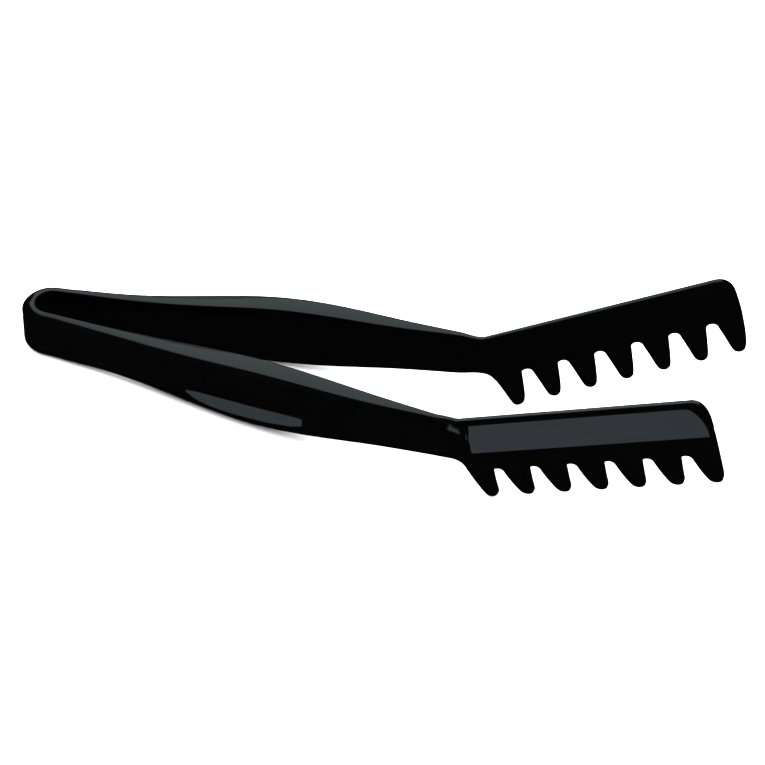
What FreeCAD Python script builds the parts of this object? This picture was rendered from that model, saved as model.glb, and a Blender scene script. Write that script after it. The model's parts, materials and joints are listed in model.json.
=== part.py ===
import FreeCAD, Part

import math
import os

import Sketcher

App = FreeCAD
V = App.Vector

# One-piece nylon tongs. The model is drawn in an arm frame: +X runs from the bow along the arms, +Z is the
# axis that the bow bends about, and the origin is the centre of the bow's inner arc, at half its height.
# The left half (+Y) is drawn and the right half is its mirror image. Every finished piece is then tipped by
# rest_tilt, so that the tongs stand on the bow's lower corner and on the first tooth of each comb.

SIZES = {
    "bow_inner_radius": 6.7,
    "bow_outer_radius": 11.5,
    "bow_outer_shift": 0.7,
    "bow_height": 19.8,
    "bow_outer_edge": 2.5,
    "bow_inner_edge": 0.8,
    "leg_splay": 4.8,
    "arm_outer_edge": 2.5,
    "arm_inner_edge": 0.7,
    "comb_pitch_angle": 24.6,
    "comb_yaw_angle": 7.4,
    "comb_reach": 188.2,
    "comb_offset": 27.7,
    "comb_drop": 22.9,
    "comb_height": 37.1,
    "comb_thickness": 2.1,
    "comb_radius": 65.0,
    "comb_radius_height": 18.4,
    "comb_end": 99.3,
    "comb_corner": 7.0,
    "comb_shoulder": 2.0,
    "sweep_reach": 171.5,
    "sweep_drop": 16.0,
    "sweep_radius": 7.0,
    "tooth_pitch": 15.5,
    "tooth_root": 13.2,
    "tooth_tip_half": 3.0,
    "tooth_tip_rise": 2.3,
    "gap_radius": 2.5,
    "gap_drop": 0.3,
    "handle_from": 45.0,
    "neck_from": 128.0,
    "rest_tilt": 3.93,
}
TEETH = 7

# Cutting tools and blanks reach this far past what they cut.
ACROSS = 60.0
OVER = 1.0

# The arm's cross-sections from the bow to the comb: reach along the arm, offset of the section's centre
# from the plane of symmetry, thickness across and height.
STATIONS = {
    "hinge": (8.0, 9.9, 5.0, 19.8),
    "leg": (30.0, 11.8, 5.4, 19.8),
    "grip_start": (60.0, 16.2, 8.6, 23.2),
    "grip_middle": (88.0, 19.9, 9.8, 27.0),
    "grip_end": (115.0, 22.4, 8.9, 24.4),
    "throat": (140.0, 24.1, 6.2, 20.3),
    "neck": (157.0, 25.0, 3.9, 19.5),
    "neck_end": (169.0, 25.5, 2.4, 19.1),
}
# Where one region of the arm ends and the next begins.
REGIONS = {
    "spring_leg": ("hinge_reach", "handle_from"),
    "handle": ("handle_from", "neck_from"),
    "neck": ("neck_from", "neck_end_reach"),
}

YZ_PLANE = App.Rotation(V(1, 1, 1), 120)
# Turns a cylinder's axis from Z to Y.
ACROSS_Y = App.Rotation(V(1, 0, 0), -90)

doc = App.newDocument("tongs")
sheet = doc.addObject("Spreadsheet::Sheet", "Sizes")


def fill_sheet():
    """Write every driving dimension in the sheet, with its name as the cell's alias."""
    for name, (reach, offset, thickness, height) in STATIONS.items():
        SIZES[name + "_reach"] = reach
        SIZES[name + "_offset"] = offset
        SIZES[name + "_thickness"] = thickness
        SIZES[name + "_height"] = height
    for row, (name, value) in enumerate(SIZES.items(), start=1):
        sheet.set(f"A{row}", name)
        sheet.set(f"B{row}", str(value))
        sheet.setAlias(f"B{row}", name)
    doc.recompute()


def size(name):
    return float(sheet.get(name))


def bind(thing, **expressions):
    """Bind each named property or constraint of a thing to an expression in the sheet's cells."""
    for path, expression in expressions.items():
        thing.setExpression(path.replace("__", "."), expression)


def comb_frame(along=0.0, outward=0.0, up=0.0):
    """The placement of the comb's own frame: X along the comb, Y outward and Z away from the tooth tips."""
    yaw = App.Rotation(V(0, 0, 1), size("comb_yaw_angle"))
    pitch = App.Rotation(V(0, 1, 0), -size("comb_pitch_angle"))
    turn = yaw.multiply(pitch)
    corner = V(size("comb_reach"), size("comb_offset"), -size("comb_drop"))
    return App.Placement(corner + turn.multVec(V(along, outward, up)), turn)


def new_sketch(name, placement):
    sketch = doc.addObject("Sketcher::SketchObject", name)
    sketch.Placement = placement
    return sketch


def add_named(sketch, name, *constraint):
    index = sketch.addConstraint(Sketcher.Constraint(*constraint))
    sketch.renameConstraint(index, name)


def add_loop(sketch, points):
    """Join the points with a closed loop of lines, in an empty sketch."""
    count = len(points)
    for i in range(count):
        sketch.addGeometry(Part.LineSegment(points[i], points[(i + 1) % count]))
    for i in range(count):
        sketch.addConstraint(Sketcher.Constraint("Coincident", i, 2, (i + 1) % count, 1))


def rounded_section(name):
    """The arm's cross-section at one station: a rectangle with rounder edges outside than inside."""
    width = size(name + "_thickness") / 2
    height = size(name + "_height") / 2
    outer = min(size("arm_outer_edge"), 0.8 * width)
    inner = min(size("arm_inner_edge"), 0.4 * width)
    place = V(size(name + "_reach"), size(name + "_offset"), 0)
    sketch = new_sketch(name + "_section", App.Placement(place, YZ_PLANE))
    sides = [
        (V(inner - width, -height), V(width - outer, -height)),
        (V(width, outer - height), V(width, height - outer)),
        (V(width - outer, height), V(inner - width, height)),
        (V(-width, height - inner), V(-width, inner - height)),
    ]
    corners = [
        (V(width - outer, outer - height), outer),
        (V(width - outer, height - outer), outer),
        (V(inner - width, height - inner), inner),
        (V(inner - width, inner - height), inner),
    ]
    for start, end in sides:
        sketch.addGeometry(Part.LineSegment(start, end))
    for quarter, (centre, radius) in enumerate(corners):
        start_angle = (quarter - 1) * math.pi / 2
        circle = Part.Circle(centre, V(0, 0, 1), radius)
        sketch.addGeometry(Part.ArcOfCircle(circle, start_angle, start_angle + math.pi / 2))
    for i in range(4):
        sketch.addConstraint(Sketcher.Constraint("Tangent", i, 2, 4 + i, 1))
        sketch.addConstraint(Sketcher.Constraint("Tangent", 4 + i, 2, (i + 1) % 4, 1))
        sketch.addConstraint(Sketcher.Constraint("Horizontal" if i % 2 == 0 else "Vertical", i))
    sketch.addConstraint(Sketcher.Constraint("Equal", 4, 5))
    sketch.addConstraint(Sketcher.Constraint("Equal", 6, 7))
    add_named(sketch, "top", "DistanceY", -1, 1, 2, 1, height)
    add_named(sketch, "outside", "DistanceX", -1, 1, 1, 1, width)
    add_named(sketch, "thickness", "DistanceX", 3, 1, 1, 1, 2 * width)
    add_named(sketch, "height", "DistanceY", 0, 1, 2, 2, 2 * height)
    add_named(sketch, "outer_edge", "Radius", 4, outer)
    add_named(sketch, "inner_edge", "Radius", 6, inner)
    bind(
        sketch,
        Constraints__top=f"Sizes.{name}_height / 2",
        Constraints__outside=f"Sizes.{name}_thickness / 2",
        Constraints__thickness=f"Sizes.{name}_thickness",
        Constraints__height=f"Sizes.{name}_height",
        Constraints__outer_edge=f"min(Sizes.arm_outer_edge; 0.4 * Sizes.{name}_thickness)",
        Constraints__inner_edge=f"min(Sizes.arm_inner_edge; 0.2 * Sizes.{name}_thickness)",
        Placement__Base__x=f"Sizes.{name}_reach",
        Placement__Base__y=f"Sizes.{name}_offset",
    )
    return sketch


def make_bow():
    """The bow: a U with its outer arc moved back, which makes it thickest at the crown."""
    body = doc.addObject("PartDesign::Body", "bow")
    plan = body.newObject("Sketcher::SketchObject", "bow_plan")
    origin_planes = {f.Role: f for f in body.Origin.OriginFeatures}
    plan.AttachmentSupport = (origin_planes["XY_Plane"], [""])
    plan.MapMode = "FlatFace"
    splay = math.radians(size("leg_splay"))
    reach = size("hinge_reach")
    ends = []
    for radius_name, centre_x in (("bow_outer_radius", -size("bow_outer_shift")), ("bow_inner_radius", 0.0)):
        radius = size(radius_name)
        touch = V(centre_x - radius * math.sin(splay), radius * math.cos(splay))
        end = V(reach, touch.y + (reach - touch.x) * math.tan(splay))
        arc = Part.ArcOfCircle(
            Part.Circle(V(centre_x, 0), V(0, 0, 1), radius), math.pi / 2 + splay, 1.5 * math.pi - splay
        )
        plan.addGeometry(arc)
        plan.addGeometry(Part.LineSegment(touch, end))
        plan.addGeometry(Part.LineSegment(V(touch.x, -touch.y), V(end.x, -end.y)))
        ends.append(end)
    plan.addGeometry(Part.LineSegment(ends[0], ends[1]))
    plan.addGeometry(Part.LineSegment(V(reach, -ends[0].y), V(reach, -ends[1].y)))
    for arc in (0, 3):
        plan.addConstraint(Sketcher.Constraint("Tangent", arc, 1, arc + 1, 1))
        plan.addConstraint(Sketcher.Constraint("Tangent", arc, 2, arc + 2, 1))
        plan.addConstraint(Sketcher.Constraint("Symmetric", arc, 1, arc, 2, -1))
    for end_line, outer, inner in ((6, 1, 4), (7, 2, 5)):
        plan.addConstraint(Sketcher.Constraint("Coincident", end_line, 1, outer, 2))
        plan.addConstraint(Sketcher.Constraint("Coincident", end_line, 2, inner, 2))
        plan.addConstraint(Sketcher.Constraint("Vertical", end_line))
    plan.addConstraint(Sketcher.Constraint("Parallel", 1, 4))
    plan.addConstraint(Sketcher.Constraint("PointOnObject", 0, 3, -1))
    plan.addConstraint(Sketcher.Constraint("Coincident", 3, 3, -1, 1))
    add_named(plan, "outer_radius", "Radius", 0, size("bow_outer_radius"))
    add_named(plan, "inner_radius", "Radius", 3, size("bow_inner_radius"))
    add_named(plan, "shift", "DistanceX", 0, 3, -1, 1, size("bow_outer_shift"))
    add_named(plan, "reach", "DistanceX", -1, 1, 6, 1, reach)
    add_named(plan, "other_reach", "DistanceX", -1, 1, 7, 1, reach)
    add_named(plan, "splay", "Angle", -1, 1, 4, 1, splay)
    bind(
        plan,
        Constraints__outer_radius="Sizes.bow_outer_radius",
        Constraints__inner_radius="Sizes.bow_inner_radius",
        Constraints__shift="Sizes.bow_outer_shift",
        Constraints__reach="Sizes.hinge_reach",
        Constraints__other_reach="Sizes.hinge_reach",
        Constraints__splay="Sizes.leg_splay * 1deg",
    )
    pad = body.newObject("PartDesign::Pad", "bow_pad")
    pad.Profile = plan
    pad.Midplane = True
    bind(pad, Length="Sizes.bow_height")
    doc.recompute()
    round_bow_edges(body, pad, "bow_outer_edge", outer=True)
    round_bow_edges(body, body.Tip, "bow_inner_edge", outer=False)
    return body


def round_bow_edges(body, base, radius_name, outer):
    """Round the long edges of the bow's outside or inside, above and below."""
    limit = (size("bow_inner_radius") + size("bow_outer_radius")) / 2
    half_height = size("bow_height") / 2
    names = []
    for i, edge in enumerate(base.Shape.Edges, start=1):
        box = edge.BoundBox
        middle = edge.valueAt((edge.FirstParameter + edge.LastParameter) / 2)
        flat = box.ZLength < 0.01 and abs(abs(box.ZMax) - half_height) < 0.01
        across = box.XLength < 0.01
        if flat and not across and (math.hypot(min(middle.x, 0), middle.y) > limit) == outer:
            names.append(f"Edge{i}")
    fillet = body.newObject("PartDesign::Fillet", radius_name)
    fillet.Base = (base, names)
    bind(fillet, Radius=f"Sizes.{radius_name}")
    doc.recompute()


def make_arm_blank():
    """The whole left arm, from the bow to the comb's shoulder, lofted through the stations."""
    loft = doc.addObject("Part::Loft", "arm_blank")
    loft.Sections = [rounded_section(name) for name in STATIONS]
    loft.Solid = True
    loft.Ruled = False
    return loft


def make_arm_region(blank, name, start, end):
    """One region of the arm: the blank between two planes across it."""
    slab = doc.addObject("Part::Box", name + "_slab")
    slab.Placement = App.Placement(V(size(start), 0, -ACROSS / 2), App.Rotation())
    slab.Width = ACROSS
    slab.Height = ACROSS
    bind(slab, Length=f"Sizes.{end} - Sizes.{start}", Placement__Base__x=f"Sizes.{start}")
    region = doc.addObject("Part::Common", "left_" + name)
    region.Base = blank
    region.Tool = slab
    return region


def make_comb_band():
    """The comb's full sheet: a shallow arc in section, run straight along the comb."""
    low, high = -OVER, size("comb_height")
    radius, thickness = size("comb_radius"), size("comb_thickness")
    rise = size("comb_radius_height")
    section = new_sketch("comb_section", comb_frame().multiply(App.Placement(V(), YZ_PLANE)))
    centre = V(thickness / 2 - math.sqrt(radius**2 - rise**2), rise)
    radii = (radius, radius - thickness)
    corners = []
    for r in radii:
        angles = [math.asin((y - rise) / r) for y in (low, high)]
        section.addGeometry(Part.ArcOfCircle(Part.Circle(centre, V(0, 0, 1), r), *angles))
        corners.append([centre + V(r * math.cos(a), r * math.sin(a)) for a in angles])
    for end in (0, 1):
        section.addGeometry(Part.LineSegment(corners[0][end], corners[1][end]))
    for end in (0, 1):
        section.addConstraint(Sketcher.Constraint("Coincident", 0, end + 1, 2 + end, 1))
        section.addConstraint(Sketcher.Constraint("Coincident", 1, end + 1, 2 + end, 2))
        section.addConstraint(Sketcher.Constraint("Horizontal", 2 + end))
    section.addConstraint(Sketcher.Constraint("Coincident", 0, 3, 1, 3))
    add_named(section, "outer", "Radius", 0, radii[0])
    add_named(section, "inner", "Radius", 1, radii[1])
    add_named(section, "rise", "DistanceY", -1, 1, 0, 3, rise)
    add_named(section, "centre", "DistanceX", 0, 3, -1, 1, -centre.x)
    add_named(section, "low", "DistanceY", 0, 1, -1, 1, -low)
    add_named(section, "high", "DistanceY", -1, 1, 0, 2, high)
    bind(
        section,
        Constraints__outer="Sizes.comb_radius",
        Constraints__inner="Sizes.comb_radius - Sizes.comb_thickness",
        Constraints__rise="Sizes.comb_radius_height",
        Constraints__centre="sqrt(Sizes.comb_radius^2 - Sizes.comb_radius_height^2) - Sizes.comb_thickness / 2",
        Constraints__high="Sizes.comb_height",
    )
    band = doc.addObject("Part::Extrusion", "comb_band")
    band.Base = section
    band.DirMode = "Normal"
    band.Solid = True
    bind(band, LengthFwd="Sizes.comb_end + Sizes.comb_corner", LengthRev="Sizes.tooth_pitch")
    return band


def across_comb(name, sketch):
    """Extrude a sketch drawn in the comb's side view both ways across the comb."""
    prism = doc.addObject("Part::Extrusion", name)
    prism.Base = sketch
    prism.DirMode = "Normal"
    prism.Solid = True
    prism.Symmetric = True
    prism.LengthFwd = ACROSS / 2
    return prism


def side_view(along=0.0):
    """The plane of the comb's side view: sketch X runs along the comb and sketch Y away from the tips."""
    return comb_frame(along=along).multiply(App.Placement(V(), App.Rotation(V(1, 0, 0), 90)))


def make_comb_spine(band):
    """The comb's spine: the sheet above the teeth, less the round tops of the gaps between them."""
    pitch, root, top = size("tooth_pitch"), size("tooth_root"), size("comb_height")
    half_base = pitch / 2 - size("gap_radius")
    end, corner = size("comb_end"), size("comb_corner")
    last = (TEETH - 1) * pitch + half_base
    slope = (half_base - size("comb_shoulder")) / (top - root)
    points = [
        V(-half_base, root),
        V(last, root),
        V(end, root + corner),
        V(end, top + OVER),
        V(-half_base + slope * (top + OVER - root), top + OVER),
    ]
    outline = new_sketch("spine_outline", side_view())
    add_loop(outline, points)
    blank = doc.addObject("Part::Common", "spine_blank")
    blank.Base = band
    blank.Tool = across_comb("spine_prism", outline)
    corner_fillet = doc.addObject("Part::Fillet", "spine_rounded")
    corner_fillet.Base = blank
    doc.recompute()
    tip = comb_frame(along=end, up=top).Base
    edge = min(
        range(len(blank.Shape.Edges)), key=lambda i: corner_distance(blank.Shape.Edges[i], tip)
    )
    corner_fillet.Edges = [(edge + 1, corner, corner)]
    gaps = []
    for i in range(TEETH - 1):
        gap = doc.addObject("Part::Cylinder", f"gap_{i + 1}")
        place = comb_frame(along=(i + 0.5) * pitch, outward=-ACROSS / 4, up=root - size("gap_drop"))
        gap.Placement = place.multiply(App.Placement(V(), ACROSS_Y))
        gap.Height = ACROSS / 2
        bind(gap, Radius="Sizes.gap_radius")
        gaps.append(gap)
    cutter = doc.addObject("Part::MultiFuse", "gap_tops")
    cutter.Shapes = gaps
    spine = doc.addObject("Part::Cut", "left_comb_spine")
    spine.Base = corner_fillet
    spine.Tool = cutter
    return spine


def corner_distance(edge, point):
    """How far an edge's middle is from a point. Edges longer than the sheet is thick don't count."""
    if edge.Length > 2 * size("comb_thickness"):
        return math.inf
    middle = edge.valueAt((edge.FirstParameter + edge.LastParameter) / 2)
    return middle.distanceToPoint(point)


def tooth_outline():
    """One tooth in side view: a tapered finger with a round tip, centred on the comb frame's origin."""
    root, rise = size("tooth_root"), size("tooth_tip_rise")
    base, half_tip = size("tooth_pitch") / 2 - size("gap_radius"), size("tooth_tip_half")
    sketch = new_sketch("tooth_outline", side_view())
    sketch.addGeometry(Part.LineSegment(V(base, root), V(-base, root)))
    sketch.addGeometry(Part.LineSegment(V(-base, root), V(-half_tip, rise)))
    sketch.addGeometry(Part.Arc(V(-half_tip, rise), V(0, 0), V(half_tip, rise)))
    sketch.addGeometry(Part.LineSegment(V(half_tip, rise), V(base, root)))
    arc_start, arc_end = (1, 2) if sketch.Geometry[2].StartPoint.x < 0 else (2, 1)
    sketch.addConstraint(Sketcher.Constraint("Coincident", 0, 2, 1, 1))
    sketch.addConstraint(Sketcher.Constraint("Coincident", 1, 2, 2, arc_start))
    sketch.addConstraint(Sketcher.Constraint("Coincident", 2, arc_end, 3, 1))
    sketch.addConstraint(Sketcher.Constraint("Coincident", 3, 2, 0, 1))
    sketch.addConstraint(Sketcher.Constraint("Symmetric", 0, 1, 0, 2, -2))
    sketch.addConstraint(Sketcher.Constraint("Symmetric", 1, 2, 3, 1, -2))
    sketch.addConstraint(Sketcher.Constraint("PointOnObject", -1, 1, 2))
    add_named(sketch, "root", "DistanceY", -1, 1, 0, 1, root)
    add_named(sketch, "rise", "DistanceY", -1, 1, 1, 2, rise)
    add_named(sketch, "base", "DistanceX", 0, 2, 0, 1, 2 * base)
    add_named(sketch, "tip", "DistanceX", 1, 2, 3, 1, 2 * half_tip)
    bind(
        sketch,
        Constraints__root="Sizes.tooth_root",
        Constraints__rise="Sizes.tooth_tip_rise",
        Constraints__base="Sizes.tooth_pitch - 2 * Sizes.gap_radius",
        Constraints__tip="2 * Sizes.tooth_tip_half",
    )
    return sketch


def make_tooth(band, outline, number):
    """One tooth: the comb's sheet inside the tooth's outline, moved along the comb by whole pitches."""
    prism = across_comb(f"tooth_{number}_prism", outline)
    step = comb_frame(along=(number - 1) * size("tooth_pitch")).Base - comb_frame().Base
    prism.Placement = App.Placement(step, App.Rotation())
    tooth = doc.addObject("Part::Common", f"left_tooth_{number}")
    tooth.Base = band
    tooth.Tool = prism
    return tooth


def make_shoulder(spine):
    """The shoulder: ruled from the neck's end face to the comb's, and swept up into a hollow below."""
    doc.recompute()
    half_thickness = size("neck_end_thickness") / 2
    half_height = size("neck_end_height") / 2
    place = V(size("neck_end_reach"), size("neck_end_offset"), 0)
    neck_end = new_sketch("shoulder_start", App.Placement(place, YZ_PLANE))
    add_loop(
        neck_end,
        [
            V(half_thickness, -half_height),
            V(half_thickness, half_height),
            V(-half_thickness, half_height),
            V(-half_thickness, -half_height),
        ],
    )
    end_face = min(spine.Shape.Faces, key=lambda face: face.CenterOfMass.x)
    comb_start = doc.addObject("Part::Feature", "shoulder_end")
    comb_start.Shape = end_face.OuterWire
    blank = doc.addObject("Part::Loft", "shoulder_blank")
    blank.Sections = [neck_end, comb_start]
    blank.Solid = True
    blank.Ruled = True
    sweep = doc.addObject("Part::Cylinder", "shoulder_sweep")
    sweep.Placement = App.Placement(V(size("sweep_reach"), 0, -size("sweep_drop")), ACROSS_Y)
    sweep.Height = ACROSS
    bind(sweep, Radius="Sizes.sweep_radius")
    shoulder = doc.addObject("Part::Cut", "left_comb_shoulder")
    shoulder.Base = blank
    shoulder.Tool = sweep
    return shoulder


def stand_up(pieces):
    """Tip the finished pieces by the rest tilt and set the origin under the middle of their common box."""
    tilt = App.Rotation(V(0, 1, 0), -size("rest_tilt"))
    for piece in pieces:
        piece.Placement = App.Placement(V(), tilt).multiply(piece.Placement)
    doc.recompute()
    boxes = [piece.Shape.optimalBoundingBox(True, False) for piece in pieces]
    middle = (min(b.XMin for b in boxes) + max(b.XMax for b in boxes)) / 2
    floor = min(b.ZMin for b in boxes)
    for piece in pieces:
        piece.Placement = App.Placement(V(-middle, 0, -floor), App.Rotation()).multiply(piece.Placement)
    doc.recompute()
    print("row origin in the arm frame:", round(middle, 4), round(floor, 4))


def mirror(piece):
    """The right side's copy of a left piece."""
    twin = doc.addObject("Part::Mirroring", piece.Name.replace("left_", "right_"))
    twin.Source = piece
    twin.Base = V(0, 0, 0)
    twin.Normal = V(0, 1, 0)
    return twin


def export(pieces):
    """Check every object and every piece, then write one STEP file for each piece."""
    for thing in doc.Objects:
        if {"Invalid", "Error"} & set(thing.State):
            raise RuntimeError(f"{thing.Name} failed: {thing.State}")
    for piece in pieces:
        if piece.Shape.isNull() or not piece.Shape.isValid() or len(piece.Shape.Solids) != 1:
            raise RuntimeError(f"{piece.Name} has no single valid solid")
    os.makedirs("parts", exist_ok=True)
    for piece in pieces:
        piece.Label = piece.Name
        piece.Shape.exportStep(f"parts/{piece.Label}.step")
        print(piece.Label, round(piece.Shape.Volume, 1))


fill_sheet()
bow = make_bow()
arm_blank = make_arm_blank()
left_side = [make_arm_region(arm_blank, name, *ends) for name, ends in REGIONS.items()]
comb_band = make_comb_band()
comb_spine = make_comb_spine(comb_band)
left_side.append(make_shoulder(comb_spine))
left_side.append(comb_spine)
outline_of_tooth = tooth_outline()
for number in range(1, TEETH + 1):
    left_side.append(make_tooth(comb_band, outline_of_tooth, number))
doc.recompute()
stand_up([bow] + left_side)
right_side = [mirror(piece) for piece in left_side]
doc.recompute()
export([bow] + left_side + right_side)
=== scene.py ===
"""One-piece black nylon pasta tongs on a pale floor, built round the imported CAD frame.

Each half of the tongs is one skin, lofted from the crown of the bow through the spring leg,
handle and neck to the end of the comb. Lengths in the tables are millimetres in the arm frame:
X along the arms from the bow's centre, Y outward, Z along the bow's axis.
"""
import json
import math
import bpy
import numpy as np
from mathutils import Matrix


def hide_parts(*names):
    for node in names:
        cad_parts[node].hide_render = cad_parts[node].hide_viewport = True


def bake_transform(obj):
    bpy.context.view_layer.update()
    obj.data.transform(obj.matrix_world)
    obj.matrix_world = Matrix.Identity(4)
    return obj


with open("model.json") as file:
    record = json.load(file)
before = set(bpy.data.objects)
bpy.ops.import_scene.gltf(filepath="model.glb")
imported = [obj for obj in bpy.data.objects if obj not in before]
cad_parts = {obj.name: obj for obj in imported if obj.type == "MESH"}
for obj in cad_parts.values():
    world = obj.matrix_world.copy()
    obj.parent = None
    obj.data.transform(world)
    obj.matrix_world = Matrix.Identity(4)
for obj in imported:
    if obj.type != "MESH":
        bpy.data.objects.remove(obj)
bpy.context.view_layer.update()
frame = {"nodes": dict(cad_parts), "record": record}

record = frame["record"]

# ---------------------------------------------------------------- the arm frame, from the record
hook = next(m for m in record["mounts"] if m["name"] == "hanging_bow")
ORIGIN = np.array(hook["pos_m"])
UPWARD = np.array(hook["axis"])
OUTWARD = np.array([0.0, 1.0, 0.0])
ALONG = np.cross(OUTWARD, UPWARD)
MILLIMETRE = 0.001

# ---------------------------------------------------------------- sizes
BOW_INNER_RADIUS = 6.7
BOW_OUTER_RADIUS = 11.7
BOW_SHIFT = 0.5
BOW_HALF_HEIGHT = 9.9
SPLAY = math.radians(4.8)
HINGE_REACH = 8.0
BOW_STEPS = 31
CROWN_STEP = 0.002  # angle in radians

# radius of the inner edges, and its largest share of the wall
INNER_EDGE = 0.6
INNER_EDGE_SHARE = 0.15
# radius of the outer edge's round against reach, at the top and at the foot
EDGE_REACH = (-11.0, 6.0, 22.0, 40.0, 110.0, 163.0)
TOP_EDGE = (4.4, 3.8, 3.0, 2.4, 1.5, 1.1)
FOOT_EDGE = (3.4, 2.8, 2.6, 2.4, 2.4, 1.6)
# largest share of the wall that an outer round takes, against reach
SHARE_REACH = (8.0, 40.0, 110.0)
OUTER_EDGE_SHARE = (0.82, 0.6, 0.45)

# reach, middle of the wall, wall thickness, lowest z, highest z
ARM = np.array([
    (8.0, 9.97, 5.14, -9.9, 9.9),
    (30.0, 12.05, 5.9, -9.95, 9.95),
    (60.0, 16.2, 8.6, -11.6, 11.65),
    (88.0, 19.9, 9.8, -13.5, 13.6),
    (115.0, 22.4, 8.9, -12.5, 12.75),
    (140.0, 24.1, 6.2, -10.5, 10.95),
    (157.0, 25.2, 3.9, -9.9, 10.3),
    (169.0, 26.0, 2.5, -9.3, 9.75),
])
NECK_REACH = 163.0
PLAIN_FROM = 120.0  # past this reach the handle's scoop has faded out

# the handle's scoop: reach, lower edge z, upper crease z
SCOOP = np.array([
    (40.0, -5.1, -4.95),
    (60.5, -5.0, -4.85),
    (63.5, -6.9, -4.65),
    (67.5, -8.6, -4.45),
    (75.0, -9.7, -4.4),
    (82.6, -9.9, -4.2),
    (97.5, -9.6, -4.1),
    (106.0, -8.7, -4.0),
    (110.5, -7.4, -4.0),
    (112.3, -5.2, -4.0),
    (112.8, -4.1, -4.0),
    (125.0, -3.2, -3.0),
])
SCOOP_SLOPE = math.tan(math.radians(12.0))
SCOOP_FADE_DEPTH = 3.0  # how far below the wall's top the scoop's hollow has died away
SCOOP_MIN_HEIGHT = 0.2

COMB_CORNER = np.array([188.65, 28.16, -22.7])
COMB_PITCH = math.radians(24.6)
COMB_YAW = math.radians(7.4)
COMB_TOP = 36.9
COMB_END = 98.7
COMB_CORNER_RADIUS = 6.4
COMB_WALL = 2.15
COMB_EDGE = 0.25
COMB_FOOT_EDGE = 0.26
PITCH = 15.4
TEETH = 7
TIP_RADIUS = 3.0
TIP_RISE = 0.04
FLANK_LOW = (3.0, 2.3)
FLANK_HIGH = (5.25, 12.6)
GAP_RADIUS = 2.5

# how far the comb's outer face stands out of its plane, against height above the tips
FACE_HEIGHT = (-1.0, 0.0, 6.0, 13.2, 20.0, 24.0, 28.0, 31.0, 33.2, 36.8, 38.0)
FACE_OUT = (0.7, 0.95, 2.35, 3.2, 3.38, 3.32, 3.05, 2.65, 2.05, 0.4, -0.1)

# the flat land on the comb's outer face
LAND_LOW = 23.2
LAND_HIGH = 34.8
LAND_SLOPE = math.tan(math.radians(11.5))
LAND_START = ((0.0, 29.0), (1.8, LAND_HIGH))
LAND_ROUND_FROM = 89.6
LAND_END = 96.8
END_ROUND = 2.3  # radius of the comb's outer face as it turns in at the end
CORNER_ROUND = 6.0  # the same above the land, where it starts sooner
CORNER_ROUND_FROM = 94.2
CORNER_FADE = 2.0  # height above the land over which that turn sets in
LAND_END_HEIGHT = 25.0

# the shoulder in the arm's side view: the curve under it and the corner of its top edge (x, z)
SWEEP = (
    (165.5, -9.4), (168.5, -9.05), (171.4, -8.8), (173.6, -9.05),
    (175.4, -9.85), (176.7, -11.0), (177.6, -12.3),
)
SWEEP_STEPS = 22
SWEEP_GAP = 0.4  # the first tooth's flank starts this far below the sweep's end
SHOULDER_CORNER = (171.0, 9.65)
CORNER_SOFT = 1.6
NEARLY_COMB = 0.9999  # weight of the shoulder's last column, which still has no land

# the round of the comb's end face: shares lost across and upward, and its depth
END_SHRINK_OUT = 0.5
END_SHRINK_UP = 0.12
END_STEP = 0.1

# the outer side of the last tooth and the comb's end: height, reach past that tooth's middle
END_OUTLINE = ((0.75, 2.0), (1.5, 2.5), (5.0, 3.75), (13.0, 5.05), (20.0, 5.85), (26.0, 6.2))


def spline(xs, ys):
    """A natural cubic spline through the points, as a function."""
    xs, ys = np.asarray(xs, float), np.asarray(ys, float)
    n = len(xs)
    h = np.diff(xs)
    system = np.eye(n)
    right = np.zeros(n)
    for i in range(1, n - 1):
        system[i, i - 1:i + 2] = h[i - 1], 2 * (h[i - 1] + h[i]), h[i]
        right[i] = 6 * ((ys[i + 1] - ys[i]) / h[i] - (ys[i] - ys[i - 1]) / h[i - 1])
    bend = np.linalg.solve(system, right)

    def value(x):
        x = np.clip(x, xs[0], xs[-1])
        i = np.clip(np.searchsorted(xs, x) - 1, 0, n - 2)
        a, b = xs[i + 1] - x, x - xs[i]
        return (
            (bend[i] * a**3 + bend[i + 1] * b**3) / (6 * h[i])
            + (ys[i] / h[i] - bend[i] * h[i] / 6) * a
            + (ys[i + 1] / h[i] - bend[i + 1] * h[i] / 6) * b
        )

    return value


wall_middle = spline(ARM[:, 0], ARM[:, 1])
wall_thickness = spline(ARM[:, 0], ARM[:, 2])
arm_bottom = spline(ARM[:, 0], ARM[:, 3])
arm_top = spline(ARM[:, 0], ARM[:, 4])
face_out = spline(FACE_HEIGHT, FACE_OUT)


def scoop_edge(x):
    return np.interp(x, SCOOP[:, 0], SCOOP[:, 1])


def scoop_crease(x):
    return np.interp(x, SCOOP[:, 0], SCOOP[:, 2])


# ---------------------------------------------------------------- the comb's own frame
cp, sp = math.cos(COMB_PITCH), math.sin(COMB_PITCH)
cy, sy = math.cos(COMB_YAW), math.sin(COMB_YAW)
COMB_ALONG = np.array([cp * cy, cp * sy, sp])
COMB_UP = np.array([-sp * cy, -sp * sy, cp])
COMB_OUT = np.array([-sy, cy, 0.0])


def comb_point(s, h, out):
    """Arm-frame points at s along the comb, h above its tips and out from its plane."""
    s, h, out = (np.asarray(a, float)[..., None] for a in np.broadcast_arrays(s, h, out))
    return COMB_CORNER + s * COMB_ALONG + h * COMB_UP + out * COMB_OUT


def side_to_comb(x, z):
    """The comb's own s and h of a point in the arm's side view."""
    from_corner = [x - COMB_CORNER[0], z - COMB_CORNER[2]]
    return np.linalg.solve([[cp * cy, -sp * cy], [sp, cp]], from_corner)


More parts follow.
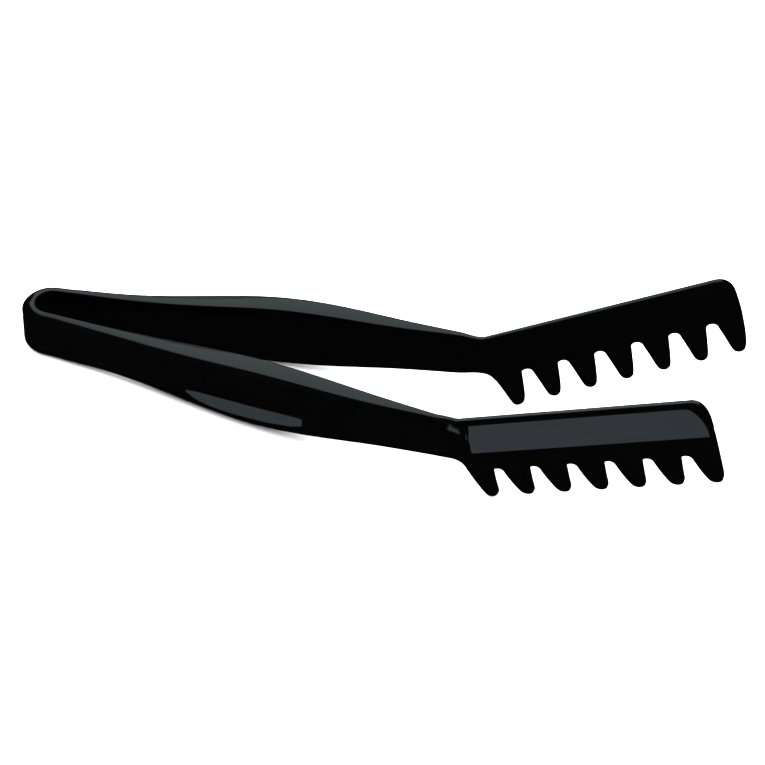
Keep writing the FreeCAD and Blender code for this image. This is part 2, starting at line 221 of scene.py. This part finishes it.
def comb_to_side(s, h):
    """The opposite: x and z in the arm's side view of a point on the comb."""
    return COMB_CORNER[0] + s * cp * cy - h * sp * cy, COMB_CORNER[2] + s * sp + h * cp


def land_top(s):
    """Height of the land's upper edge at s, or its lower edge where there is no land."""
    if s <= LAND_START[-1][0]:
        return float(np.interp(s, *zip(*LAND_START)))
    if s <= LAND_ROUND_FROM:
        return LAND_HIGH
    if s >= LAND_END:
        return LAND_LOW
    part = (s - LAND_ROUND_FROM) / (LAND_END - LAND_ROUND_FROM)
    return LAND_END_HEIGHT + (LAND_HIGH - LAND_END_HEIGHT) * math.sqrt(1 - part**2)


# ---------------------------------------------------------------- one section of the skin
ARC = 6  # steps round an edge
TOP_ARC = np.radians((0.0, 12.0, 25.0, 40.0, 54.0, 66.0, 69.0))
CREASE = 0.1  # from a crease to the rows beside it
SUPPORT = 3.0  # the next rows are this many times as far away
BAND_MIN = 0.6  # least height of the crease band
NECK_BAND = (0.64, 0.67)  # the crease band of a plain wall, as shares of its height
SHORT_BAND = (0.45, 0.55)  # the same on a column too short for a land
BAND_FLOOR = (0.35, 0.45)  # the lowest that the band's two creases go on any column
SHORT_COLUMN = 6.0
ROWS = (8, 4, 5)  # rows of the outer face below, on and above its crease band
EDGE_ROOM = 0.3  # largest share of a section's height that an edge round takes
MOST_STRETCH = 5.0  # edge rounds are stretched no more than this along a steep edge
MOST_TOP_STRETCH = 4.0
SHARP_ANGLE = math.radians(32.0)


def quarter(n):
    return np.linspace(0, math.pi / 2, n + 1)


def section_loop(height, band, faces, edges, stretch, relief):
    """A closed loop round one section.

    band holds the heights of the two creases of the outer face, edges the radii of the upper
    outer, lower outer and inner edges, and stretch how much taller than wide the upper and lower
    edge rounds are. faces gives the inner and outer face at heights above the section's foot, and
    relief how far the outer face lies inside that.
    """
    outer_r, foot_r, inner_r = edges
    top_stretch, foot_stretch = stretch
    room = EDGE_ROOM * height
    # the upper outer edge's round stops short of upright, and meets the face in a faint crease
    turn = TOP_ARC[-1]
    ot = min(outer_r * top_stretch * (1 - math.cos(turn)) / math.sin(turn), room)
    it = min(inner_r * top_stretch, room)
    ob, ib = min(foot_r * foot_stretch, room), min(inner_r * foot_stretch, room)
    low, high = band
    gap = min(CREASE, (high - low) / (4 * SUPPORT))
    v, inside, outside = [], [], []

    def add(heights, from_inner=None, from_outer=None):
        heights = np.atleast_1d(heights)
        v.extend(heights)
        for insets, distance in ((inside, from_inner), (outside, from_outer)):
            distance = np.nan if distance is None else distance
            insets.extend(np.broadcast_to(distance, heights.shape))

    a = quarter(ARC)
    # up the inner face
    rows_above = ROWS[1] + ROWS[2]
    add(np.linspace(ib, low, ROWS[0] + 1)[:-1], from_inner=0.0)
    add(np.linspace(low, height - it, rows_above + 1)[:-1], from_inner=0.0)
    # over the top
    add(height - it + it * np.sin(a), from_inner=inner_r * (1 - np.cos(a)))
    drop = ot * (1 - np.cos(TOP_ARC)) / (1 - math.cos(turn))
    add(height - drop, from_outer=outer_r * (1 - np.sin(TOP_ARC) / math.sin(turn)))
    # down the outer face, with close rows beside each crease
    below_edge = height - ot - CREASE
    add(np.linspace(below_edge, high + SUPPORT * gap, ROWS[2]), from_outer=0.0)
    add((high + gap, high - gap), from_outer=0.0)
    add(np.linspace(high - SUPPORT * gap, low + SUPPORT * gap, ROWS[1] - 1), from_outer=0.0)
    add((low + gap, low - gap), from_outer=0.0)
    add(np.linspace(low - SUPPORT * gap, ob, ROWS[0])[:-1], from_outer=0.0)
    # under the foot
    add(ob - ob * np.sin(a), from_outer=foot_r * (1 - np.cos(a)))
    add(ib - ib * np.cos(a), from_inner=inner_r * (1 - np.sin(a)))
    v, inside, outside = np.array(v), np.array(inside), np.array(outside)
    inner, outer = faces(v)
    across = outer - inner
    width = np.linalg.norm(across, axis=1)
    share = np.where(np.isnan(inside), 1 - outside / width, inside / width)
    flat_outer = ~np.isnan(outside)
    share = share - np.where(flat_outer, relief(v) / width, 0.0)
    return inner + share[:, None] * across


# ---------------------------------------------------------------- stations along the skin
def edges_for(width, x):
    """The radii of a wall's upper outer, lower outer and inner edges at reach x."""
    most = float(np.interp(x, SHARE_REACH, OUTER_EDGE_SHARE)) * width
    top = min(float(np.interp(x, EDGE_REACH, TOP_EDGE)), most)
    foot = min(float(np.interp(x, EDGE_REACH, FOOT_EDGE)), most)
    return top, foot, min(INNER_EDGE, INNER_EDGE_SHARE * width)


def arm_faces(inner_xy, outer_xy, bottom):
    """The two upright faces of an arm's section, as section_loop takes them."""
    def faces(v):
        z = bottom + v
        inner = np.stack([np.full_like(z, inner_xy[0]), np.full_like(z, inner_xy[1]), z], 1)
        outer = np.stack([np.full_like(z, outer_xy[0]), np.full_like(z, outer_xy[1]), z], 1)
        return inner, outer

    return faces


def bow_sections():
    """From the crown round to the hinge line."""
    loops = []
    turns = np.linspace(math.pi, math.pi / 2 + SPLAY, BOW_STEPS)
    # the first step is short, so that the two halves' shading meets at the crown
    turns = np.insert(turns, 1, turns[0] - CROWN_STEP)
    for turn in turns:
        ray = np.array([math.cos(turn), math.sin(turn)])
        inner = BOW_INNER_RADIUS * ray
        outer = BOW_OUTER_RADIUS * ray - np.array([BOW_SHIFT, 0.0])
        loops.append(arm_section(inner, outer, -BOW_HALF_HEIGHT, BOW_HALF_HEIGHT, float(inner[0])))
    start_inner, start_outer = inner, outer
    straight = np.array([1.0, math.tan(SPLAY)])
    for part in np.linspace(0, 1, 6)[1:-1]:
        inner = start_inner + part * (HINGE_REACH - start_inner[0]) * straight
        outer = start_outer + part * (HINGE_REACH - start_outer[0]) * straight
        loops.append(arm_section(inner, outer, -BOW_HALF_HEIGHT, BOW_HALF_HEIGHT, 0.0))
    return loops


def arm_section(inner, outer, bottom, top, x):
    """An upright section of the wall between two (x, y) points, with the scoop at reach x."""
    width = float(np.hypot(*(outer - inner)))
    edge, crease = scoop_edge(x), scoop_crease(x)
    depth = max(crease - edge - SCOOP_MIN_HEIGHT, 0.0) * SCOOP_SLOPE
    height = top - bottom
    to_band = np.interp(x, (PLAIN_FROM, NECK_REACH), (0.0, 1.0))
    crease_v = (1 - to_band) * (crease - bottom) + to_band * NECK_BAND[1] * height
    edge_v = (1 - to_band) * (edge - bottom) + to_band * NECK_BAND[0] * height
    edge_v = min(edge_v, crease_v - BAND_MIN)
    fade = height - SCOOP_FADE_DEPTH

    def relief(v):
        upper = np.clip((fade - v) / (fade - crease_v), 0, 1)
        lower = np.clip((v - edge_v) / (crease_v - edge_v), 0, 1)
        return depth * np.minimum(upper, lower)

    faces = arm_faces(inner, outer, bottom)
    return section_loop(height, (edge_v, crease_v), faces, edges_for(width, x), (1.0, 1.0), relief)


def arm_sections():
    """From the hinge line to the end of the neck, with close steps at the scoop's ends."""
    loops = []
    steps = np.concatenate([
        np.linspace(HINGE_REACH, 58.0, 22)[:-1],
        np.linspace(58.0, 70.0, 13)[:-1],
        np.linspace(70.0, 104.0, 16)[:-1],
        np.linspace(104.0, 114.0, 14)[:-1],
        np.linspace(114.0, NECK_REACH, 20),
    ])
    for x in steps:
        middle, width = wall_middle(x), wall_thickness(x)
        inner = np.array([x, middle - width / 2])
        outer = np.array([x, middle + width / 2])
        loops.append(arm_section(inner, outer, arm_bottom(x), arm_top(x), x))
    return loops


def comb_column(foot, head, weight, stretch):
    """A section of the comb or its shoulder, from foot to head, both (s, h).

    weight is 0 where the wall is still the neck's and 1 where it is the comb's own.
    """
    foot, head = np.array(foot, float), np.array(head, float)
    height = float(np.hypot(*(head - foot)))
    direction = (head - foot) / height
    land_high = land_top(foot[0]) if weight >= 1 else LAND_LOW
    has_land = land_high > LAND_LOW + BAND_MIN
    band_low = (LAND_LOW - foot[1]) / direction[1]
    band_high = (max(land_high, LAND_LOW + BAND_MIN) - foot[1]) / direction[1]
    low = weight * band_low + (1 - weight) * NECK_BAND[0] * height
    high = weight * band_high + (1 - weight) * NECK_BAND[1] * height
    if low < BAND_FLOOR[0] * height:
        low = BAND_FLOOR[0] * height
        high = max(high, BAND_FLOOR[1] * height)
    if height > SHORT_COLUMN:
        band = (low, min(high, height - 2 * COMB_EDGE))
    else:
        band = (SHORT_BAND[0] * height, SHORT_BAND[1] * height)

    def faces(v):
        sh = foot + v[:, None] * direction
        out = face_out(sh[:, 1])
        comb_outer = comb_point(sh[:, 0], sh[:, 1], out)
        comb_inner = comb_point(sh[:, 0], sh[:, 1], out - COMB_WALL)
        if weight >= 1:
            return comb_inner, comb_outer
        x, z = comb_to_side(sh[:, 0], sh[:, 1])
        middle, width = wall_middle(x), wall_thickness(x)
        neck_inner = np.stack([x, middle - width / 2, z], 1)
        neck_outer = np.stack([x, middle + width / 2, z], 1)
        return (
            neck_inner + weight * (comb_inner - neck_inner),
            neck_outer + weight * (comb_outer - neck_outer),
        )

    past = min(max(foot[0] - LAND_END, 0.0), COMB_END - LAND_END)
    rounded = END_ROUND - math.sqrt(END_ROUND**2 - past**2)
    corner = max(foot[0] - CORNER_ROUND_FROM, 0.0) ** 2 / (2 * CORNER_ROUND)

    def relief(v):
        h = foot[1] + v * direction[1]
        turned_in = np.maximum(rounded, corner * np.clip((h - land_high) / CORNER_FADE, 0, 1))
        if not has_land:
            return turned_in
        on_land = (h > LAND_LOW) & (h < land_high)
        plane = face_out(LAND_LOW) - (h - LAND_LOW) * LAND_SLOPE
        return np.where(on_land, face_out(h) - plane, turned_in)

    width = weight * COMB_WALL + (1 - weight) * float(wall_thickness(comb_to_side(*foot)[0]))
    neck_edges = edges_for(width, NECK_REACH)
    comb_edges = (COMB_EDGE, COMB_FOOT_EDGE, COMB_FOOT_EDGE)
    edges = [weight * c + (1 - weight) * n for c, n in zip(comb_edges, neck_edges)]
    return section_loop(height, band, faces, edges, stretch, relief)


def half_tooth():
    """The far half of a tooth's outline and of the gap beside it, from the tip.

    Points are (s, h, stretch), with the edge stretch that section_loop takes.
    """
    points = []
    for a in np.radians((0, 18, 36, 52, 66, 76)):
        h = TIP_RISE + TIP_RADIUS * (1 - math.cos(a))
        points.append((TIP_RADIUS * math.sin(a), h, 1 / math.cos(a)))
    flank = np.array(FLANK_HIGH) - np.array(FLANK_LOW)
    steep = float(np.hypot(*flank) / flank[0])
    for part in np.linspace(0.12, 0.97, 5):
        s, h = np.array(FLANK_LOW) + part * flank
        points.append((s, h, steep))
    for a in np.radians((12, 28, 45, 60, 75, 90)):
        s = PITCH / 2 - GAP_RADIUS * math.cos(a)
        h = FLANK_HIGH[1] + GAP_RADIUS * math.sin(a)
        points.append((s, h, 1 / max(math.sin(a), 0.2)))
    return points


def sweep_feet():
    """The curve under the shoulder, as (s, h, stretch) points like half_tooth's."""
    side = [(NECK_REACH, float(arm_bottom(NECK_REACH))), *SWEEP]
    sweep = [side_to_comb(x, z) for x, z in side]
    along_s = spline(range(len(sweep)), [p[0] for p in sweep])
    along_h = spline(range(len(sweep)), [p[1] for p in sweep])
    small = 0.01
    feet = []
    for t in np.linspace(0, len(sweep) - 1, SWEEP_STEPS)[1:]:
        ds = float(along_s(t + small) - along_s(t - small))
        dh = float(along_h(t + small) - along_h(t - small))
        stretch = math.hypot(ds, dh) / max(abs(ds), 1e-6)
        feet.append((float(along_s(t)), float(along_h(t)), min(stretch, MOST_STRETCH)))
    return feet


def shoulder_head(t):
    """The top edge from the neck (t = 0) round the corner to the first tooth's middle (t = 1)."""
    start = side_to_comb(NECK_REACH, float(arm_top(NECK_REACH)))
    corner = np.array([side_to_comb(*SHOULDER_CORNER)[0], COMB_TOP])
    end = np.array([0.0, COMB_TOP])
    first = float(np.hypot(*(corner - start)))
    second = float(np.hypot(*(end - corner)))
    along = t * (first + second)
    if along < first - CORNER_SOFT:
        return start + (corner - start) * along / first
    if along > first + CORNER_SOFT:
        return corner + (end - corner) * (along - first) / second
    a = corner + (start - corner) * CORNER_SOFT / first
    b = corner + (end - corner) * CORNER_SOFT / second
    u = (along - first + CORNER_SOFT) / (2 * CORNER_SOFT)
    return (1 - u) ** 2 * a + 2 * u * (1 - u) * corner + u**2 * b


def shoulder_sections():
    """The fan from the upright neck to the tilted first tooth, and that tooth's near half."""
    feet = sweep_feet()
    lowest = feet[-1][1]
    for s, h, stretch in reversed(half_tooth()):
        if h < lowest - SWEEP_GAP:
            feet.append((-s, h, min(stretch, MOST_STRETCH)))
    loops = []
    for i, (s, h, stretch) in enumerate(feet):
        t = (i + 1) / len(feet)
        loops.append(comb_column((s, h), shoulder_head(t), min(t, NEARLY_COMB), (1.0, stretch)))
    return loops


def comb_sections():
    """The comb from the first tooth's tip to just before the last one's outer side."""
    loops = []
    outline = half_tooth()
    for tooth in range(TEETH):
        centre = PITCH * tooth
        near = [(centre - s, h, k) for s, h, k in reversed(outline)]
        far = [(centre + s, h, k) for s, h, k in outline]
        columns = (near[1:-1] if tooth else []) + (far if tooth < TEETH - 1 else far[:3])
        for s, h, k in columns:
            stretch = (top_stretch(s), min(k, MOST_STRETCH))
            loops.append(comb_column((s, h), (s, comb_head(s)), 1.0, stretch))
    return loops


def comb_head(s):
    """Height of the comb's top edge at s, with the round corner at its end."""
    if s <= COMB_END - COMB_CORNER_RADIUS:
        return COMB_TOP
    part = min(s - (COMB_END - COMB_CORNER_RADIUS), COMB_CORNER_RADIUS)
    return COMB_TOP - COMB_CORNER_RADIUS + math.sqrt(COMB_CORNER_RADIUS**2 - part**2)


def top_stretch(s):
    """How much taller than wide the top edge's rounds are at s, as the corner gets steeper."""
    if s <= COMB_END - COMB_CORNER_RADIUS:
        return 1.0
    part = (s - (COMB_END - COMB_CORNER_RADIUS)) / COMB_CORNER_RADIUS
    return min(1 / math.sqrt(max(1 - part**2, 1e-4)), MOST_TOP_STRETCH)


def end_sections():
    """The last tooth's outer side and the comb's rounded end."""
    last = PITCH * (TEETH - 1)
    outline_h = np.linspace(END_OUTLINE[0][0], END_OUTLINE[-1][0], 200)
    outline_s = spline(*zip(*END_OUTLINE))(outline_h) + last
    outline_s = np.minimum(np.maximum.accumulate(outline_s), COMB_END)
    land_past = LAND_END + 0.1
    last_turn = 0.5
    steps = np.concatenate([
        np.linspace(outline_s[0] + 0.15, land_past, 20)[:-1],
        np.linspace(land_past, COMB_END - last_turn, 7)[:-1],
        COMB_END - last_turn * (1 - np.sin(np.radians((0, 20, 38, 55, 70, 80)))),
    ])
    small = 0.02
    loops = []
    for s in steps:
        h = float(np.interp(s, outline_s, outline_h))
        rise = float(np.interp(s + small, outline_s, outline_h) - h) / small
        stretch = (top_stretch(s), min(math.hypot(1, rise), MOST_STRETCH))
        loops.append(comb_column((s, h), (s, comb_head(s)), 1.0, stretch))
    return loops


def half_skin():
    """All sections of one half, from the crown to the comb's end."""
    loops = bow_sections() + arm_sections() + shoulder_sections() + comb_sections() + end_sections()
    # the last loop shrinks a little over three more steps, as the round of the end face
    last = loops[-1]
    middle = last.mean(0)
    across = last - middle
    out, up, along = (
        (across @ axis)[:, None] * axis for axis in (COMB_OUT, COMB_UP, COMB_ALONG)
    )
    for a in (0.4, 0.8, 1.2):
        shrink = 1 - math.cos(a)
        ring = middle + out * (1 - END_SHRINK_OUT * shrink) + up * (1 - END_SHRINK_UP * shrink)
        loops.append(ring + along + END_STEP * math.sin(a) * COMB_ALONG)
    return np.array(loops)


def skin_mesh(name, side, rings):
    """A closed mesh through the rings, on the left (side 1) or right (side -1)."""
    points = rings.reshape(-1, 3) * MILLIMETRE
    points = (
        ORIGIN
        + points[:, :1] * ALONG
        + side * points[:, 1:2] * OUTWARD
        + points[:, 2:] * UPWARD
    )
    count, around = rings.shape[:2]
    faces = []
    for i in range(count - 1):
        for j in range(around):
            k = (j + 1) % around
            face = (i * around + j, i * around + k, (i + 1) * around + k, (i + 1) * around + j)
            faces.append(face if side > 0 else face[::-1])
    start = tuple(range(around))
    end = tuple(range((count - 1) * around, count * around))
    faces.append(start[::-1] if side > 0 else start)
    faces.append(end if side > 0 else end[::-1])
    mesh = bpy.data.meshes.new(name)
    mesh.from_pydata(points.tolist(), [], faces)
    mesh.validate()
    mesh.polygons.foreach_set("use_smooth", [len(p.vertices) == 4 for p in mesh.polygons])
    mesh.set_sharp_from_angle(angle=SHARP_ANGLE)
    return mesh


# ---------------------------------------------------------------- material
def nylon():
    """Glossy black nylon with a faint mould texture, hairline scratches and uneven gloss."""
    material = bpy.data.materials.new("gloss_black_nylon")
    material.use_nodes = True
    tree = material.node_tree
    tree.nodes.clear()
    node = tree.nodes.new
    link = tree.links.new
    out = node("ShaderNodeOutputMaterial")
    shader = node("ShaderNodeBsdfPrincipled")
    shader.inputs["IOR"].default_value = 1.53
    link(shader.outputs[0], out.inputs["Surface"])
    place = node("ShaderNodeTexCoord")

    cloud = node("ShaderNodeTexNoise")
    cloud.inputs["Scale"].default_value = 45.0
    cloud.inputs["Detail"].default_value = 4.0
    link(place.outputs["Object"], cloud.inputs["Vector"])
    tint = node("ShaderNodeValToRGB")
    tint.color_ramp.elements[0].color = (0.0002, 0.00022, 0.00025, 1)
    tint.color_ramp.elements[1].color = (0.0006, 0.00065, 0.0007, 1)
    link(cloud.outputs["Fac"], tint.inputs["Fac"])
    link(tint.outputs["Color"], shader.inputs["Base Color"])

    stretch = node("ShaderNodeMapping")
    stretch.inputs["Scale"].default_value = (60.0, 900.0, 900.0)
    link(place.outputs["Object"], stretch.inputs["Vector"])
    scratch = node("ShaderNodeTexNoise")
    scratch.inputs["Scale"].default_value = 1.0
    scratch.inputs["Detail"].default_value = 3.0
    link(stretch.outputs["Vector"], scratch.inputs["Vector"])
    gloss = node("ShaderNodeMapRange")
    gloss.inputs["From Min"].default_value = 0.35
    gloss.inputs["From Max"].default_value = 0.75
    gloss.inputs["To Min"].default_value = 0.05
    gloss.inputs["To Max"].default_value = 0.13
    blend = node("ShaderNodeMath")
    blend.operation = "MULTIPLY_ADD"
    blend.inputs[1].default_value = 0.35
    link(scratch.outputs["Fac"], blend.inputs[0])
    scale = node("ShaderNodeMath")
    scale.operation = "MULTIPLY"
    scale.inputs[1].default_value = 0.65
    link(cloud.outputs["Fac"], scale.inputs[0])
    link(scale.outputs[0], blend.inputs[2])
    link(blend.outputs[0], gloss.inputs["Value"])
    link(gloss.outputs["Result"], shader.inputs["Roughness"])

    grain = node("ShaderNodeTexNoise")
    grain.inputs["Scale"].default_value = 2600.0
    grain.inputs["Detail"].default_value = 2.0
    link(place.outputs["Object"], grain.inputs["Vector"])
    bump = node("ShaderNodeBump")
    bump.inputs["Strength"].default_value = 0.03
    bump.inputs["Distance"].default_value = 0.0001
    link(grain.outputs["Fac"], bump.inputs["Height"])
    link(bump.outputs["Normal"], shader.inputs["Normal"])
    return material


# ---------------------------------------------------------------- the two halves
rings = half_skin()
black = nylon()


for side_name, side in (("left", 1), ("right", -1)):
    mesh = skin_mesh(f"{side_name}_half", side, rings)
    half = bpy.data.objects.new(f"{side_name}_half", mesh)
    bpy.context.scene.collection.objects.link(half)
    mesh.materials.append(black)
    replaced = [n for n in frame["nodes"] if n.startswith(side_name + "_")]
    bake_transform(half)
    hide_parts("bow", *replaced)


# ---------------------------------------------------------------- floor, light and camera
FLOOR_HALF = 6.0
FLOOR_GREY = 0.9
WORLD_STRENGTH = 0.008
LIGHT_TARGET = np.array([0, 0, 0.03])
BACK_TINT = (0.90, 1.04, 1.10)
FRONT_TINT = (0.84, 1.0, 1.12)
# name, azimuth, elevation, distance, width, height, radiance, tint
REFLECTED_LIGHTS = (
    ("back_softbox", -22.0, 49.0, 1.0, 1.0, 0.71, 0.85, BACK_TINT),
    ("comb_softbox", -31.0, 20.5, 1.0, 0.30, 0.26, 0.85, BACK_TINT),
    ("low_front_strip", 199.5, -22.0, 1.0, 0.35, 0.16, 0.80, FRONT_TINT),
)
OVERHEAD = ("overhead", 0.0, 85.0, 3.0, 8.0, 8.0, 6.466, (1, 1, 1))

SENSOR_WIDTH = 36.0
LENS = 103.53
CAMERA_PLACE = np.array([0.092238, -0.645206, 0.595193])
CAMERA_BACK = np.array([0.098562, -0.742395, 0.662672])
CAMERA_UP = np.array([-0.230521, 0.630768, 0.740939])


def floor_material():
    material = bpy.data.materials.new("floor_white")
    material.use_nodes = True
    shader = material.node_tree.nodes["Principled BSDF"]
    shader.inputs["Base Color"].default_value = (FLOOR_GREY, FLOOR_GREY, FLOOR_GREY, 1)
    shader.inputs["Roughness"].default_value = 0.9
    shader.inputs["Specular IOR Level"].default_value = 0.0
    return material


def make_floor(half):
    """A square floor, left out of reflections so that the gloss shows only the lights."""
    mesh = bpy.data.meshes.new("floor")
    corners = [(-half, -half, 0), (half, -half, 0), (half, half, 0), (-half, half, 0)]
    mesh.from_pydata(corners, [], [(0, 1, 2, 3)])
    mesh.materials.append(floor_material())
    floor = bpy.data.objects.new("floor", mesh)
    bpy.context.scene.collection.objects.link(floor)
    floor.visible_glossy = False


def add_area(name, azimuth, elevation, distance, width, height, radiance, tint, reflected=True):
    """An area light facing the object. Azimuth 0 is behind the far arm, and 90 is past the combs.

    A reflected light shows only in the gloss, and any other light only lights the surfaces.
    """
    a, e = math.radians(azimuth), math.radians(elevation)
    direction = np.array([math.sin(a) * math.cos(e), math.cos(a) * math.cos(e), math.sin(e)])
    data = bpy.data.lights.new(name, "AREA")
    data.shape = "RECTANGLE"
    data.size = width
    data.size_y = height
    data.energy = math.pi * width * height * radiance
    data.color = tint
    lamp = bpy.data.objects.new(name, data)
    bpy.context.scene.collection.objects.link(lamp)
    place_facing(lamp, direction * distance + LIGHT_TARGET, direction, np.array([0, 0, 1.0]))
    lamp.visible_camera = False
    lamp.visible_glossy = reflected
    lamp.visible_diffuse = not reflected


def place_facing(thing, position, back, up):
    """Put a lamp or camera at position, looking away from the direction back."""
    back = np.array(back) / np.linalg.norm(back)
    right = np.cross(up, back)
    right /= np.linalg.norm(right)
    top = np.cross(back, right)
    rows = [[right[i], top[i], back[i], position[i]] for i in range(3)]
    thing.matrix_world = Matrix(rows + [[0, 0, 0, 1]])


make_floor(FLOOR_HALF)
for light in REFLECTED_LIGHTS:
    add_area(*light)
add_area(*OVERHEAD, reflected=False)

world = bpy.data.worlds.new("studio")
bpy.context.scene.world = world
world.use_nodes = True
world.node_tree.nodes["Background"].inputs["Color"].default_value = (1, 1, 1, 1)
world.node_tree.nodes["Background"].inputs["Strength"].default_value = WORLD_STRENGTH

camera_data = bpy.data.cameras.new("camera")
camera_data.sensor_width = SENSOR_WIDTH
camera_data.lens = LENS
camera = bpy.data.objects.new("camera", camera_data)
bpy.context.scene.collection.objects.link(camera)
place_facing(camera, CAMERA_PLACE, CAMERA_BACK, CAMERA_UP)
bpy.context.scene.camera = camera
bpy.context.scene.view_settings.view_transform = "Standard"
